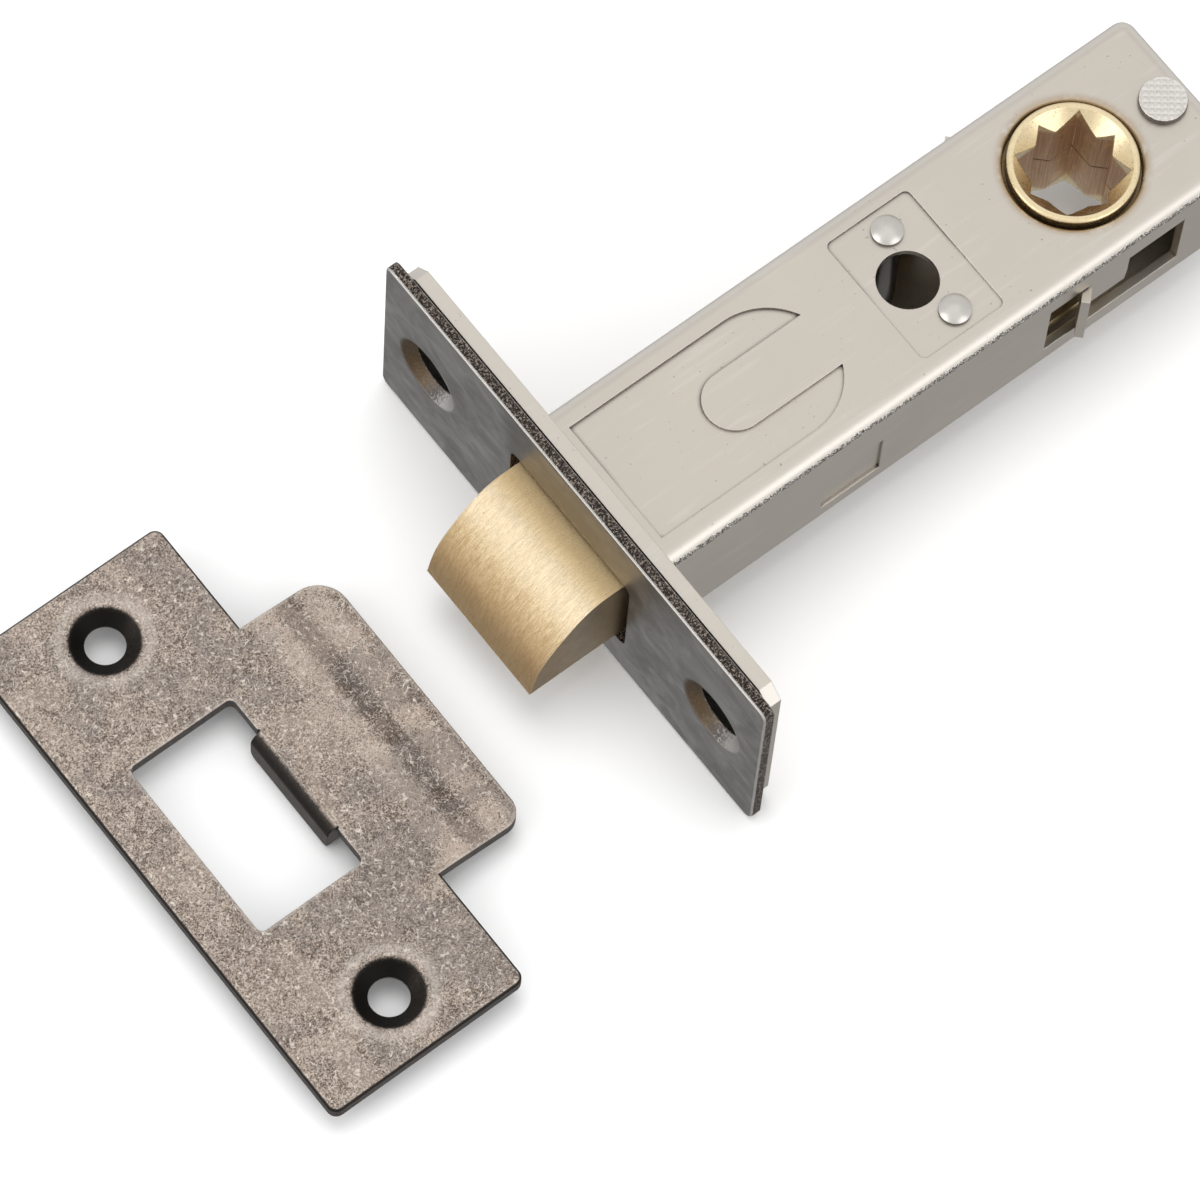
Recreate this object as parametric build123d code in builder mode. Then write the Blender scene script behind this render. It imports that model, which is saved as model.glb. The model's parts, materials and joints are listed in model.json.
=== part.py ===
"""Sprung tubular mortice latch with its strike plate.

A pressed steel case carries a bevelled brass latch bolt at the front and a
split brass follower at the rear.  A U-shaped drawbar riveted to the bolt runs
back past the follower, whose wings push its lugs rearward when a spindle
turns.  A coil spring between the bolt and a bracket on the pillars sends the
bolt out again.  The strike plate is a separate pressing.

Frame: origin at the middle of the faceplate's front face, +X into the door
along the case, +Z along the spindle, towards the bolt's bevelled side.
"""

import os
from math import asin, cos, radians, sin, sqrt

from build123d import *

os.makedirs("parts", exist_ok=True)

# ---------------------------------------------------------------- faceplate
FACE_LENGTH, FACE_WIDTH, FACE_THICK = 57.0, 25.0, 1.2
FACE_CORNER, FACE_EDGE = 1.0, 0.3         # plan corners, softened front edge
FACE_SCREW_SPACING = 43.4
FACE_SCREW_R, FACE_SINK_R = 2.95, 4.05
FOREND_SCREW_R = 2.2
FACE_WINDOW_Y = 9.0                      # half width of the bolt opening
FACE_WINDOW_Z = (-7.5, 5.4)

# ------------------------------------------------------------- inner forend
FOREND_FRONT, FOREND_BACK = 1.5, 3.0     # rim front and plate back, along X
FOREND_SHEET, FOREND_RIM = 0.9, 1.1
FOREND_LENGTH, FOREND_WIDTH = 54.6, 24.0
FOREND_NOTCH = 1.5
FOREND_WINDOW_GAP = 0.4                  # clearance round the bolt

# --------------------------------------------------------------------- case
CASE_BACK = 74.3
CASE_HALF_Y, CASE_HALF_Z = 9.6, 7.2
CASE_SHEET = 0.9
CASE_FOLD_R = 1.5
STAKE_HALF_Z = 3.0                       # half height of the staked front tongues
COVER_THICK = 0.75
COVER_GAP = 0.05
HUB_HOLE_R, HUB_RIM_ROUND = 6.7, 0.5
SHOE_HALF_Y, SHOE_CENTRE_X, SHOE_FRONT_X = 7.0, 23.4, 5.2
SHOE_TONGUE_HALF, SHOE_TONGUE_X = 3.15, 19.3
SHOE_DEPTH = 0.3
PANEL_X, PANEL_HALF_Y, PANEL_DEPTH = (35.9, 45.8), 7.45, 0.2
FIXING_X, FIXING_R = 40.0, 3.05
SLOT_X, SLOT_Z = (50.0, 66.4), (-4.9, 3.3)   # window in each side wall
BARB_X, BARB_REACH = 54.9, 2.1
BRIDGE_X = (54.6, 59.6)                  # strip of wall left across the window
BRIDGE_BEND, BRIDGE_BOTTOM, BRIDGE_PRESS = 0.8, -1.4, 0.15
EMBOSS_X, EMBOSS_Z, EMBOSS_DEPTH = (22.9, 30.0), (-5.4, 0.9), 0.3

# ------------------------------------------------------------ pillars, post
PILLAR_X, PILLAR_Y = 41.6, 5.1
PILLAR_R, PILLAR_NECK_R, PILLAR_DOME = 1.6, 1.1, 0.95
HEAD_WALL = 0.35                         # upright edge of each headed-over end
POST_X, POST_R, POST_NECK_R = 71.0, 2.4, 1.5
POST_HEAD = 0.8

# ----------------------------------------------------------------- follower
BACKSET = 60.0
HUB_R, HUB_PROUD = 6.35, 0.6
BODY_R, FLANGE_R = 6.1, 6.95
FLANGE_Z = (4.0, 6.0)
SPLIT_GAP = 0.3
SPINDLE_SIDE, STAR_TIP_R = 7.9, 5.15
STAR_SINK_R, STAR_SINK_DEPTH = 5.75, 2.0
WING_ANGLE = 41.5                        # each wing leans this far forward
WING_TIP_R, WING_TIP_ROUND = 8.4, 0.5
WING_ROOT_HALF = 1.6
WING_Z = (0.4, 3.4)

# ----------------------------------------------------- bolt, drawbar, spring
BOLT_NOSE, BOLT_BACK = -10.4, 18.5
BOLT_HALF_Y = 7.9
BOLT_Z = (-6.35, 4.45)
BEVEL_START = -1.6                       # where the bevel leaves the bolt's top
SPRING_Z = -0.9                          # height of the spring's axis
BORE_R, BORE_BOTTOM = 4.2, 5.0
SPRING_R, SPRING_WIRE_R, SPRING_TURNS, SPRING_PLAY = 3.45, 0.4, 9, 0.05
ARM_OUTER, ARM_SHEET, ARM_HALF_Z = 8.15, 0.95, 4.9
ARM_FLARE_X = (34.0, 40.0)               # each arm widens between these
LUG_INNER, LUG_HALF_Z, LUG_GAP = 6.35, 3.6, 0.65
WEB_HALF_Z, WEB_HOLE_R = 4.4, 4.4
BAR_RIVET_Y, BAR_RIVET_R, BAR_RIVET_DEPTH = 6.1, 0.7, 4.0
BAR_RIVET_HEAD_R, BAR_RIVET_HEAD = 1.0, 0.3
BRACKET_X, BRACKET_SHEET, BRACKET_HALF_Y, BRACKET_HALF_Z = 30.4, 1.0, 6.6, 5.6
PILOT_R, PILOT_LENGTH, PILOT_NECK_R = 2.7, 5.0, 1.3

# ------------------------------------------------------------- strike plate
STRIKE_X, STRIKE_Y = -38.3, -1.0         # centre of the bolt hole
STRIKE_THICK = 1.5
STRIKE_LENGTH, STRIKE_BODY_X = 57.0, (-11.3, 10.9)
STRIKE_CORNER, STRIKE_EDGE = 1.0, 0.35
STRIKE_HOLE = (12.0, 20.5)
STRIKE_SCREW_SPACING, STRIKE_SCREW_R = 44.0, 2.0
STRIKE_SINK_R, STRIKE_LAND = 3.3, 0.35
STRIKE_MOUTH_R, STRIKE_MOUTH_DEPTH = 4.3, 0.25
LIP_WIDTH, LIP_REACH, LIP_DROP = 30.8, 10.0, 0.8
LIP_CORNERS = (2.0, 3.2)                     # at the -Y end, at the +Y end
TAB_WIDTH, TAB_DROP, TAB_RELIEF = 11.9, 2.6, 0.2
TAB_SET_BACK = 0.5                       # how far the fold starts behind the hole's edge

# --------------------------------------------------- worked-out places
TOP_INNER = CASE_HALF_Z - CASE_SHEET
SIDE_INNER = CASE_HALF_Y - CASE_SHEET
COVER_TOP = -CASE_HALF_Z + COVER_THICK
STRIKE_TOP = -FACE_WIDTH / 2 + TAB_DROP + STRIKE_THICK   # tongue level with the faceplate's edge
WING_TIP_CENTRE = WING_TIP_R - WING_TIP_ROUND
LUG_FACE = BACKSET - WING_TIP_CENTRE * sin(radians(WING_ANGLE)) + WING_TIP_ROUND + LUG_GAP
WINDOW_LENGTH = 7.4                      # arm window in front of each lug
ARM_BACK = LUG_FACE + ARM_SHEET
SIDES = {"left": 1, "right": -1}         # left is +Y, right is -Y


def finish(part, name):
    """Label one piece and write it out."""
    part.label = name
    export_step(part, f"parts/{name}.step")


# The faceplate is a flat plate with the bolt's opening and two countersunk
# screw holes; its edges are softened by tumbling.
with BuildPart() as faceplate:
    with BuildSketch(Plane.YZ):
        RectangleRounded(FACE_LENGTH, FACE_WIDTH, FACE_CORNER)
    extrude(amount=FACE_THICK)
    front_edges = faceplate.faces().sort_by(Axis.X)[0].edges()
    fillet(front_edges, FACE_EDGE)
    with BuildSketch(Plane.YZ):
        with Locations((0, sum(FACE_WINDOW_Z) / 2)):
            RectangleRounded(2 * FACE_WINDOW_Y, FACE_WINDOW_Z[1] - FACE_WINDOW_Z[0], 1.0)
    extrude(amount=FACE_THICK, mode=Mode.SUBTRACT)
    with Locations(Plane.YZ.rotated((0, 180, 0))):
        with GridLocations(FACE_SCREW_SPACING, 1, 2, 1):
            CounterSinkHole(FACE_SCREW_R, FACE_SINK_R, depth=FACE_THICK, counter_sink_angle=90)
finish(faceplate.part, "faceplate")

# The inner forend is a shallow pressed tray behind the faceplate: a plate
# with its rim folded forward all round and its corners cut off.
with BuildPart() as inner_forend:
    with BuildSketch(Plane.YZ.offset(FOREND_BACK - FOREND_SHEET)):
        Rectangle(FOREND_LENGTH, FOREND_WIDTH)
        chamfer(vertices(), FOREND_NOTCH)
    extrude(amount=FOREND_SHEET)
    with BuildSketch(Plane.YZ.offset(FOREND_FRONT)):
        Rectangle(FOREND_LENGTH, FOREND_WIDTH)
        chamfer(vertices(), FOREND_NOTCH)
        Rectangle(FOREND_LENGTH - 2 * FOREND_RIM, FOREND_WIDTH - 2 * FOREND_RIM, mode=Mode.SUBTRACT)
    extrude(amount=FOREND_BACK - FOREND_SHEET - FOREND_FRONT)
    with BuildSketch(Plane.YZ):
        with Locations((0, sum(BOLT_Z) / 2)):
            RectangleRounded(
                2 * (BOLT_HALF_Y + FOREND_WINDOW_GAP), BOLT_Z[1] - BOLT_Z[0] + 2 * FOREND_WINDOW_GAP, 0.8
            )
        with GridLocations(FACE_SCREW_SPACING, 1, 2, 1):
            Circle(FOREND_SCREW_R)
        with GridLocations(2 * CASE_HALF_Y - CASE_SHEET, 1, 2, 1):
            Rectangle(CASE_SHEET + 0.1, 2 * STAKE_HALF_Z + 0.1)
    extrude(amount=FOREND_BACK, mode=Mode.SUBTRACT)
finish(inner_forend.part, "inner_forend")

# The case channel is folded from sheet: top, two sides and a closed rear,
# with tongues at the front that pass through the forend and are staked.
with BuildPart() as case_channel:
    case_length = CASE_BACK - FOREND_BACK
    with BuildSketch(Plane.XY.offset(-CASE_HALF_Z)):
        with Locations((FOREND_BACK + case_length / 2, 0)):
            Rectangle(case_length, 2 * CASE_HALF_Y)
    extrude(amount=2 * CASE_HALF_Z)
    rear_corners = case_channel.edges().filter_by(Axis.Z).group_by(Axis.X)[-1]
    fillet(rear_corners, CASE_FOLD_R)
    top_face = case_channel.faces().sort_by(Axis.Z)[-1]
    fold_edges = top_face.edges().filter_by(lambda e: e.center().X > FOREND_BACK + 0.1)
    fillet(fold_edges, CASE_FOLD_R)
    with BuildSketch(Plane.XY.offset(-CASE_HALF_Z)):
        with Locations((FOREND_BACK + (case_length - CASE_SHEET) / 2, 0)):
            Rectangle(case_length - CASE_SHEET, 2 * SIDE_INNER)
    extrude(amount=TOP_INNER + CASE_HALF_Z, mode=Mode.SUBTRACT)

    # the horseshoe pressed into the top, a round-ended field around a tongue
    with BuildSketch(Plane.XY.offset(CASE_HALF_Z - SHOE_DEPTH)):
        with Locations(((SHOE_FRONT_X + SHOE_CENTRE_X) / 2, 0)):
            Rectangle(SHOE_CENTRE_X - SHOE_FRONT_X, 2 * SHOE_HALF_Y)
        with Locations((SHOE_CENTRE_X, 0)):
            Circle(SHOE_HALF_Y)
        with Locations((SHOE_TONGUE_X, 0)):
            Circle(SHOE_TONGUE_HALF, mode=Mode.SUBTRACT)
        with Locations((SHOE_TONGUE_X + SHOE_HALF_Y, 0)):
            Rectangle(2 * SHOE_HALF_Y, 2 * SHOE_TONGUE_HALF, mode=Mode.SUBTRACT)
    extrude(amount=SHOE_DEPTH, mode=Mode.SUBTRACT)
    with BuildSketch(Plane.XY.offset(CASE_HALF_Z - PANEL_DEPTH)):
        with Locations((sum(PANEL_X) / 2, 0)):
            RectangleRounded(PANEL_X[1] - PANEL_X[0], 2 * PANEL_HALF_Y, 0.7)
    extrude(amount=PANEL_DEPTH, mode=Mode.SUBTRACT)

    # holes through the top for the fixing screw, pillars, follower and post
    with BuildSketch(Plane.XY.offset(TOP_INNER - 1)):
        with Locations((FIXING_X, 0)):
            Circle(FIXING_R)
        with Locations((PILLAR_X, PILLAR_Y), (PILLAR_X, -PILLAR_Y)):
            Circle(PILLAR_NECK_R)
        with Locations((BACKSET, 0)):
            Circle(HUB_HOLE_R)
        with Locations((POST_X, 0)):
            Circle(POST_NECK_R)
    extrude(amount=3, mode=Mode.SUBTRACT)
    hub_rim = case_channel.edges().filter_by(GeomType.CIRCLE).group_by(Axis.Z)[-1]
    hub_rim = hub_rim.filter_by(lambda e: abs(e.radius - HUB_HOLE_R) < 0.01)
    fillet(hub_rim, HUB_RIM_ROUND)

    # the window in each side wall, over the travel of the drawbar's lug
    with BuildSketch(Plane.XZ.offset(-CASE_HALF_Y - 1)):
        with Locations((sum(SLOT_X) / 2, sum(SLOT_Z) / 2)):
            Rectangle(SLOT_X[1] - SLOT_X[0], SLOT_Z[1] - SLOT_Z[0])
    extrude(amount=2 * CASE_HALF_Y + 2, mode=Mode.SUBTRACT)
    for side in SIDES.values():
        # a strip of wall hangs across it, its lower half pressed inward
        with BuildSketch(Plane.YZ.offset(BRIDGE_X[0])):
            with BuildLine():
                Polyline(
                    (side * CASE_HALF_Y, SLOT_Z[1] + 0.2),
                    (side * CASE_HALF_Y, BRIDGE_BEND),
                    (side * (CASE_HALF_Y - BRIDGE_PRESS), BRIDGE_BOTTOM),
                    (side * (SIDE_INNER - BRIDGE_PRESS), BRIDGE_BOTTOM),
                    (side * SIDE_INNER, BRIDGE_BEND),
                    (side * SIDE_INNER, SLOT_Z[1] + 0.2),
                    close=True,
                )
            make_face()
        extrude(amount=BRIDGE_X[1] - BRIDGE_X[0])
        # the anchor barb leans out from that strip's front edge
        lean = Plane(
            origin=(BARB_X, side * (CASE_HALF_Y - CASE_SHEET / 2), SLOT_Z[0] + 0.2),
            x_dir=(-1, side, 0),
            z_dir=(0, 0, 1),
        )
        with BuildSketch(lean):
            with Locations((BARB_REACH / 2, 0)):
                Rectangle(BARB_REACH, CASE_SHEET)
        extrude(amount=SLOT_Z[1] - SLOT_Z[0] - 0.5)

    # shallow pads pressed inward on both sides guide the drawbar's arms
    for side in SIDES.values():
        with BuildSketch(Plane.XZ.offset(-side * CASE_HALF_Y)):
            with Locations((sum(EMBOSS_X) / 2, sum(EMBOSS_Z) / 2)):
                Rectangle(EMBOSS_X[1] - EMBOSS_X[0], EMBOSS_Z[1] - EMBOSS_Z[0])
        extrude(amount=side * EMBOSS_DEPTH, mode=Mode.SUBTRACT)
        with BuildSketch(Plane.XZ.offset(-side * SIDE_INNER)):
            with Locations((sum(EMBOSS_X) / 2, sum(EMBOSS_Z) / 2)):
                Rectangle(EMBOSS_X[1] - EMBOSS_X[0], EMBOSS_Z[1] - EMBOSS_Z[0])
        extrude(amount=side * EMBOSS_DEPTH)

    # front tongues
    with BuildSketch(Plane.YZ.offset(FOREND_BACK - FOREND_SHEET)):
        with GridLocations(2 * CASE_HALF_Y - CASE_SHEET, 1, 2, 1):
            Rectangle(CASE_SHEET, 2 * STAKE_HALF_Z)
    extrude(amount=FOREND_SHEET + 0.5)
finish(case_channel.part, "case_channel")

# The cover closes the underside, let in between the side walls.
with BuildPart() as case_cover:
    cover_length = CASE_BACK - CASE_SHEET - COVER_GAP - FOREND_BACK
    with BuildSketch(Plane.XY.offset(-CASE_HALF_Z)):
        with Locations((FOREND_BACK + cover_length / 2, 0)):
            Rectangle(cover_length, 2 * (SIDE_INNER - COVER_GAP))
        with Locations((FIXING_X, 0)):
            Circle(FIXING_R, mode=Mode.SUBTRACT)
        with Locations((PILLAR_X, PILLAR_Y), (PILLAR_X, -PILLAR_Y)):
            Circle(PILLAR_NECK_R, mode=Mode.SUBTRACT)
        with Locations((BACKSET, 0)):
            Circle(HUB_HOLE_R, mode=Mode.SUBTRACT)
        with Locations((POST_X, 0)):
            Circle(POST_NECK_R, mode=Mode.SUBTRACT)
    extrude(amount=COVER_THICK)
finish(case_cover.part, "case_cover")


def riveted_post(name, x, y, radius, neck_radius, head_radius, head_height, seat_top, domed):
    """A shouldered post between cover and top, its ends headed over outside."""
    top = seat_top + head_height
    bottom = -CASE_HALF_Z - head_height
    cap_height = head_height - HEAD_WALL
    cap_r = (head_radius**2 + cap_height**2) / (2 * cap_height)
    half_turn = asin(head_radius / cap_r) / 2
    cap_mid_x, cap_mid_drop = cap_r * sin(half_turn), cap_r * (1 - cos(half_turn))
    with BuildPart() as post:
        with BuildSketch(Plane(origin=(x, y, 0), x_dir=(1, 0, 0), z_dir=(0, -1, 0))):
            with BuildLine():
                Polyline(
                    (head_radius, seat_top + HEAD_WALL), (head_radius, seat_top), (neck_radius, seat_top),
                    (neck_radius, TOP_INNER), (radius, TOP_INNER), (radius, COVER_TOP),
                    (neck_radius, COVER_TOP), (neck_radius, -CASE_HALF_Z), (head_radius, -CASE_HALF_Z),
                    (head_radius, -CASE_HALF_Z - HEAD_WALL),
                )
                ThreePointArc(
                    (head_radius, -CASE_HALF_Z - HEAD_WALL), (cap_mid_x, bottom + cap_mid_drop), (0, bottom)
                )
                Line((0, bottom), (0, top))
                if domed:
                    ThreePointArc(
                        (0, top), (cap_mid_x, top - cap_mid_drop), (head_radius, seat_top + HEAD_WALL)
                    )
                else:
                    Polyline(
                        (0, top), (head_radius - 0.2, top), (head_radius, top - 0.2),
                        (head_radius, seat_top + HEAD_WALL),
                    )
            make_face()
        revolve(axis=Axis((x, y, 0), (0, 0, 1)))
    finish(post.part, name)


# Two pillars tie the top to the cover beside the fixing hole and take the
# spring's push through the bracket; their ends are headed over as domes.
for side_name, side in SIDES.items():
    riveted_post(f"pillar_rivet_{side_name}", PILLAR_X, side * PILLAR_Y, PILLAR_R, PILLAR_NECK_R,
                 PILLAR_R, PILLAR_DOME, CASE_HALF_Z - PANEL_DEPTH, domed=True)

# The rear post ties the case behind the follower; its head is flat.
riveted_post("rear_post", POST_X, 0, POST_R - 0.3, POST_NECK_R,
             POST_R, POST_HEAD, CASE_HALF_Z, domed=False)

# The spring bracket is a U of sheet whose legs bear on the two pillars.
with BuildPart() as spring_bracket:
    with BuildSketch(Plane.XY.offset(-BRACKET_HALF_Z)):
        with BuildLine():
            leg_back = PILLAR_X - PILLAR_R
            Polyline(
                (leg_back, BRACKET_HALF_Y), (BRACKET_X, BRACKET_HALF_Y),
                (BRACKET_X, -BRACKET_HALF_Y), (leg_back, -BRACKET_HALF_Y),
                (leg_back, -BRACKET_HALF_Y + BRACKET_SHEET),
                (BRACKET_X + BRACKET_SHEET, -BRACKET_HALF_Y + BRACKET_SHEET),
                (BRACKET_X + BRACKET_SHEET, BRACKET_HALF_Y - BRACKET_SHEET),
                (leg_back, BRACKET_HALF_Y - BRACKET_SHEET),
                close=True,
            )
        make_face()
    extrude(amount=2 * BRACKET_HALF_Z)
    outer_bends = spring_bracket.edges().filter_by(Axis.Z).group_by(Axis.X)[0]
    fillet(outer_bends, 0.8)
    with BuildSketch(Plane.YZ.offset(BRACKET_X)):
        with Locations((0, SPRING_Z)):
            Circle(PILOT_NECK_R)
    extrude(amount=BRACKET_SHEET, mode=Mode.SUBTRACT)
finish(spring_bracket.part, "spring_bracket")

# A turned pilot, riveted through the bracket, keeps the spring centred.
with BuildPart() as spring_pilot:
    with BuildSketch(Plane(origin=(0, 0, SPRING_Z), x_dir=(1, 0, 0), z_dir=(0, -1, 0))):
        web_back = BRACKET_X + BRACKET_SHEET
        with BuildLine():
            Polyline(
                (BRACKET_X - PILOT_LENGTH, 0), (BRACKET_X - PILOT_LENGTH, PILOT_R - 0.6),
                (BRACKET_X - PILOT_LENGTH + 0.6, PILOT_R), (BRACKET_X, PILOT_R),
                (BRACKET_X, PILOT_NECK_R), (web_back, PILOT_NECK_R), (web_back, PILOT_R - 0.5),
                (web_back + 0.7, PILOT_NECK_R), (web_back + 0.7, 0), close=True,
            )
        make_face()
    revolve(axis=Axis((0, 0, SPRING_Z), (1, 0, 0)))
finish(spring_pilot.part, "spring_pilot")

# The latch bolt is a brass block with a curved bevel on its closing side,
# bored from the rear for its spring.
with BuildPart() as latch_bolt:
    with BuildSketch(Plane.XZ.offset(-BOLT_HALF_Y)):
        with BuildLine():
            bevel_start = (BEVEL_START, BOLT_Z[1])
            nose_top = (BOLT_NOSE + 0.1, BOLT_Z[0] + 0.3)
            Polyline(
                nose_top, (BOLT_NOSE, BOLT_Z[0]), (BOLT_BACK, BOLT_Z[0]),
                (BOLT_BACK, BOLT_Z[1]), bevel_start,
            )
            Spline(bevel_start, (-5.3, 2.9), (-8.3, -0.5), nose_top, tangents=((-1, 0), (-0.16, -1)))
        make_face()
    extrude(amount=2 * BOLT_HALF_Y)
    with BuildSketch(Plane.YZ.offset(BOLT_BACK)):
        with Locations((0, SPRING_Z)):
            Circle(BORE_R)
    extrude(amount=BORE_BOTTOM - BOLT_BACK, mode=Mode.SUBTRACT)
    with BuildSketch(Plane.YZ.offset(BOLT_BACK)):
        with GridLocations(2 * BAR_RIVET_Y, 1, 2, 1):
            Circle(BAR_RIVET_R)
    extrude(amount=-BAR_RIVET_DEPTH, mode=Mode.SUBTRACT)
finish(latch_bolt.part, "latch_bolt")

# The drawbar is one U of sheet steel: a web riveted to the bolt, and two arms
# whose windows let the follower's wings through to the lugs behind them.
with BuildPart() as drawbar:
    with BuildSketch(Plane.YZ.offset(BOLT_BACK)):
        with Locations((0, SPRING_Z)):
            Rectangle(2 * ARM_OUTER, 2 * WEB_HALF_Z)
            Circle(WEB_HOLE_R - 0.1, mode=Mode.SUBTRACT)
    extrude(amount=ARM_SHEET)
    for side in SIDES.values():
        with BuildSketch(Plane.XZ.offset(-side * ARM_OUTER)):
            with BuildLine():
                Polyline(
                    (BOLT_BACK, SPRING_Z - WEB_HALF_Z), (BOLT_BACK, SPRING_Z + WEB_HALF_Z),
                    (ARM_FLARE_X[0], SPRING_Z + WEB_HALF_Z), (ARM_FLARE_X[1], ARM_HALF_Z),
                    (ARM_BACK, ARM_HALF_Z), (ARM_BACK, -ARM_HALF_Z),
                    (ARM_FLARE_X[0], -ARM_HALF_Z), close=True,
                )
            make_face()
            with Locations((LUG_FACE - WINDOW_LENGTH / 2, 0)):
                Rectangle(WINDOW_LENGTH, 2 * LUG_HALF_Z, mode=Mode.SUBTRACT)
        extrude(amount=side * ARM_SHEET)
        with BuildSketch(Plane.YZ.offset(LUG_FACE)):
            with Locations((side * (LUG_INNER + ARM_OUTER) / 2, 0)):
                Rectangle(ARM_OUTER - LUG_INNER, 2 * LUG_HALF_Z - 0.2)
        extrude(amount=ARM_SHEET)
    with BuildSketch(Plane.YZ.offset(BOLT_BACK)):
        with GridLocations(2 * BAR_RIVET_Y, 1, 2, 1):
            Circle(BAR_RIVET_R)
    extrude(amount=ARM_SHEET, mode=Mode.SUBTRACT)
finish(drawbar.part, "drawbar")

# Two small rivets fix the drawbar's web to the back of the bolt.
with BuildPart() as drawbar_rivets:
    with BuildSketch(Plane.YZ.offset(BOLT_BACK - BAR_RIVET_DEPTH)):
        with GridLocations(2 * BAR_RIVET_Y, 1, 2, 1):
            Circle(BAR_RIVET_R)
    extrude(amount=BAR_RIVET_DEPTH + ARM_SHEET)
    with BuildSketch(Plane.YZ.offset(BOLT_BACK + ARM_SHEET)):
        with GridLocations(2 * BAR_RIVET_Y, 1, 2, 1):
            Circle(BAR_RIVET_HEAD_R)
    extrude(amount=BAR_RIVET_HEAD)
finish(drawbar_rivets.part, "drawbar_rivets")

# The bolt spring sits in the bolt's bore and pushes against the bracket.
with BuildPart() as bolt_spring:
    spring_start = BORE_BOTTOM + SPRING_WIRE_R + SPRING_PLAY
    spring_length = BRACKET_X - SPRING_WIRE_R - SPRING_PLAY - spring_start
    coil = Helix(
        pitch=spring_length / SPRING_TURNS, height=spring_length, radius=SPRING_R,
        center=(spring_start, 0, SPRING_Z), direction=(1, 0, 0),
    )
    with BuildSketch(Plane(origin=coil @ 0, z_dir=coil % 0)):
        Circle(SPRING_WIRE_R)
    sweep(path=coil, is_frenet=True)
finish(bolt_spring.part, "bolt_spring")


def follower_half(name, up):
    """One half of the split follower; up is +1 for the top half, -1 for the bottom."""
    top = CASE_HALF_Z + HUB_PROUD
    with BuildPart() as half:
        with BuildSketch(Plane.XY.offset(SPLIT_GAP / 2)):
            with Locations((BACKSET, 0)):
                Circle(BODY_R)
        extrude(amount=FLANGE_Z[0] - SPLIT_GAP / 2)
        with BuildSketch(Plane.XY.offset(FLANGE_Z[0])):
            with Locations((BACKSET, 0)):
                Circle(FLANGE_R)
        extrude(amount=FLANGE_Z[1] - FLANGE_Z[0])
        with BuildSketch(Plane.XY.offset(FLANGE_Z[1])):
            with Locations((BACKSET, 0)):
                Circle(HUB_R)
        extrude(amount=top - FLANGE_Z[1])
        with BuildSketch(Plane.XY.offset(WING_Z[0])):
            for wing_angle in (90 + WING_ANGLE, 270 - WING_ANGLE):
                with Locations(Location((BACKSET, 0, 0), (0, 0, wing_angle))):
                    Polygon(
                        (0, WING_ROOT_HALF), (WING_TIP_CENTRE, WING_TIP_ROUND),
                        (WING_TIP_CENTRE, -WING_TIP_ROUND), (0, -WING_ROOT_HALF), align=None,
                    )
                tip_x = BACKSET + WING_TIP_CENTRE * cos(radians(wing_angle))
                with Locations((tip_x, WING_TIP_CENTRE * sin(radians(wing_angle)))):
                    Circle(WING_TIP_ROUND)
        extrude(amount=WING_Z[1] - WING_Z[0])
        # the star takes a square spindle two ways round
        with BuildSketch(Plane.XY):
            with Locations((BACKSET, 0)):
                Rectangle(SPINDLE_SIDE, SPINDLE_SIDE)
                Rectangle(sqrt(2) * STAR_TIP_R, sqrt(2) * STAR_TIP_R, rotation=45)
        extrude(amount=top + 1, mode=Mode.SUBTRACT)
        with BuildSketch(Plane.XZ):
            with BuildLine():
                Polyline(
                    (BACKSET, top), (BACKSET + STAR_SINK_R, top),
                    (BACKSET + STAR_SINK_R - STAR_SINK_DEPTH, top - STAR_SINK_DEPTH),
                    (BACKSET, top - STAR_SINK_DEPTH), close=True,
                )
            make_face()
        revolve(axis=Axis((BACKSET, 0, 0), (0, 0, 1)), mode=Mode.SUBTRACT)
        hub_edge = half.edges().filter_by(GeomType.CIRCLE).group_by(Axis.Z)[-1]
        hub_edge = hub_edge.filter_by(lambda e: abs(e.radius - HUB_R) < 0.01)
        fillet(hub_edge, 0.25)
    piece = half.part if up > 0 else mirror(half.part, about=Plane.XY)
    finish(piece, name)


# The follower is split at mid height, so each handle turns its own half.
follower_half("follower_upper", 1)
follower_half("follower_lower", -1)

# The strike plate: a flat body with the bolt hole, a tongue folded down from
# that hole, two countersunk screw holes and a lip with a gentle double bend.
strike_top = Plane(origin=(STRIKE_X, STRIKE_Y, STRIKE_TOP))
body_mid = sum(STRIKE_BODY_X) / 2
body_width = STRIKE_BODY_X[1] - STRIKE_BODY_X[0]
hole_edge = STRIKE_HOLE[0] / 2


def strike_section(y):
    """The upright X-Z plane at distance y from the hole's centre, facing -Y."""
    return Plane(origin=(STRIKE_X, STRIKE_Y + y, STRIKE_TOP), x_dir=(1, 0, 0), z_dir=(0, -1, 0))


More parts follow.
